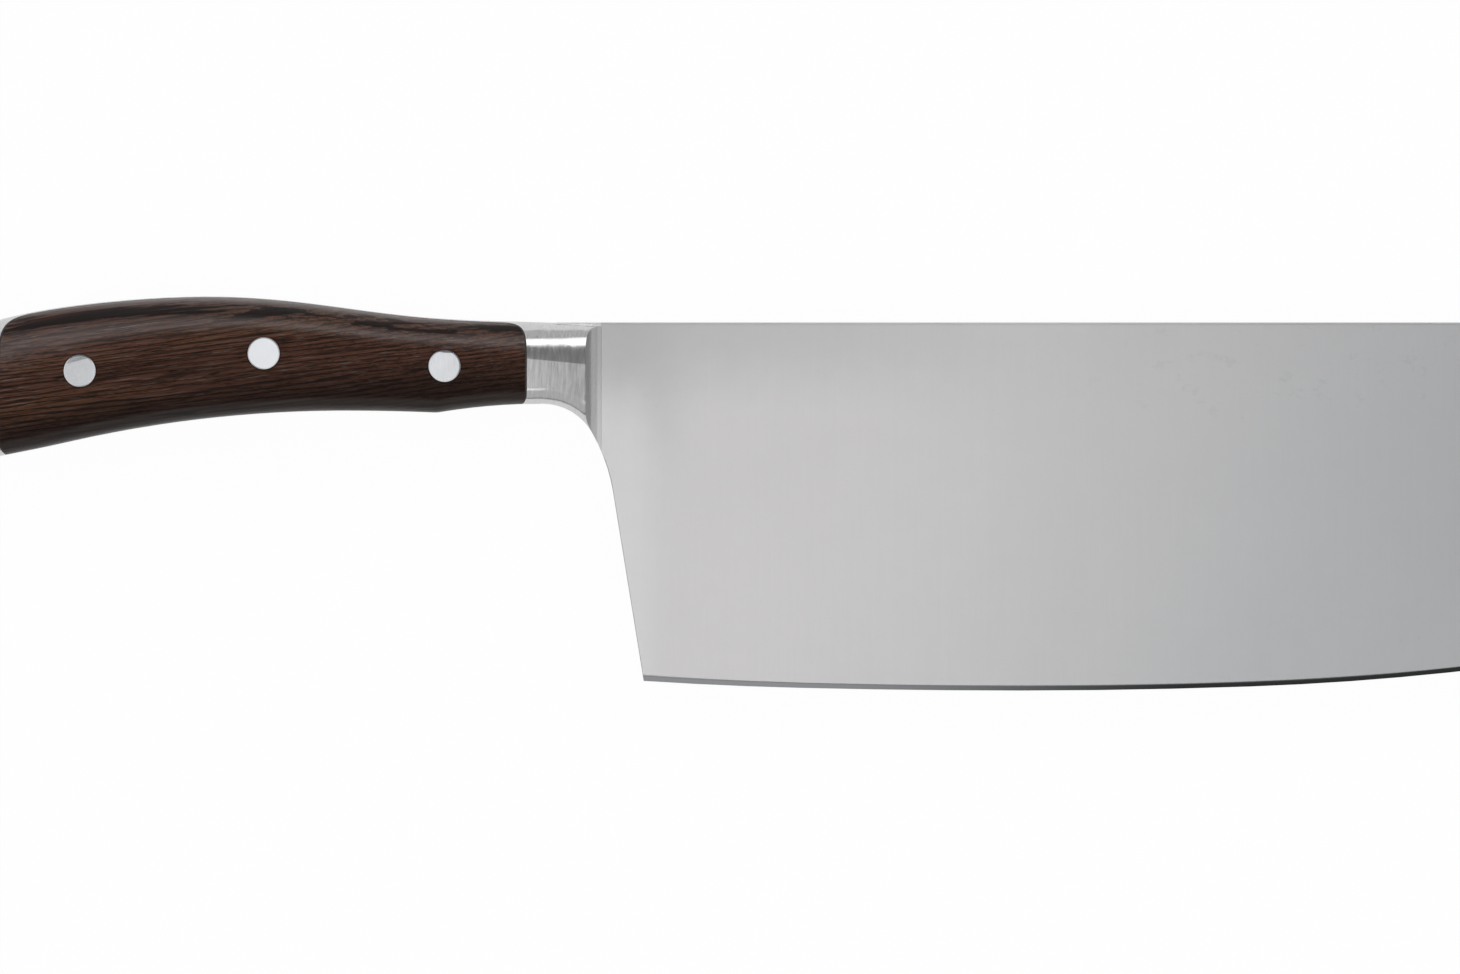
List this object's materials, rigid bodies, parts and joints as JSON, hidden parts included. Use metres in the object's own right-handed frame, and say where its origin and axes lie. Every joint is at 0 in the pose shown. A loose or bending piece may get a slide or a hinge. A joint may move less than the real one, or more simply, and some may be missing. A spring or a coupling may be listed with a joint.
{
  "type": "chinese cleaver",
  "caption": "Forged chinese cleaver with a tall, gently curved blade, a steel bolster at each end of the handle, and riveted dark hardwood scales.",
  "frame": {"origin": "under the middle of the knife as it lies on its side, level with the lowest point of the handle", "axes": "+X along the knife from the butt of the handle to the end of the blade, +Y from the edge to the spine, +Z through its thickness, out of its right side"},
  "size_m": [0.308, 0.0776, 0.0185],
  "materials": {
    "blade_steel": "satin, brushed from the spine to the edge",
    "rivet_steel": "polished flush with the wood",
    "dark_hardwood": "oiled and smooth, with fine pores",
    "scale_adhesive": "thin dark bedding line"
  },
  "bodies": {
    "root": {"blade_forging": "blade_steel", "scale_right": "dark_hardwood", "scale_left": "dark_hardwood", "bedding_right": "scale_adhesive", "bedding_left": "scale_adhesive", "rivet_front_female": "rivet_steel", "rivet_front_male": "rivet_steel", "rivet_middle_female": "rivet_steel", "rivet_middle_male": "rivet_steel", "rivet_rear_female": "rivet_steel", "rivet_rear_male": "rivet_steel"}
  },
  "joints": []
}
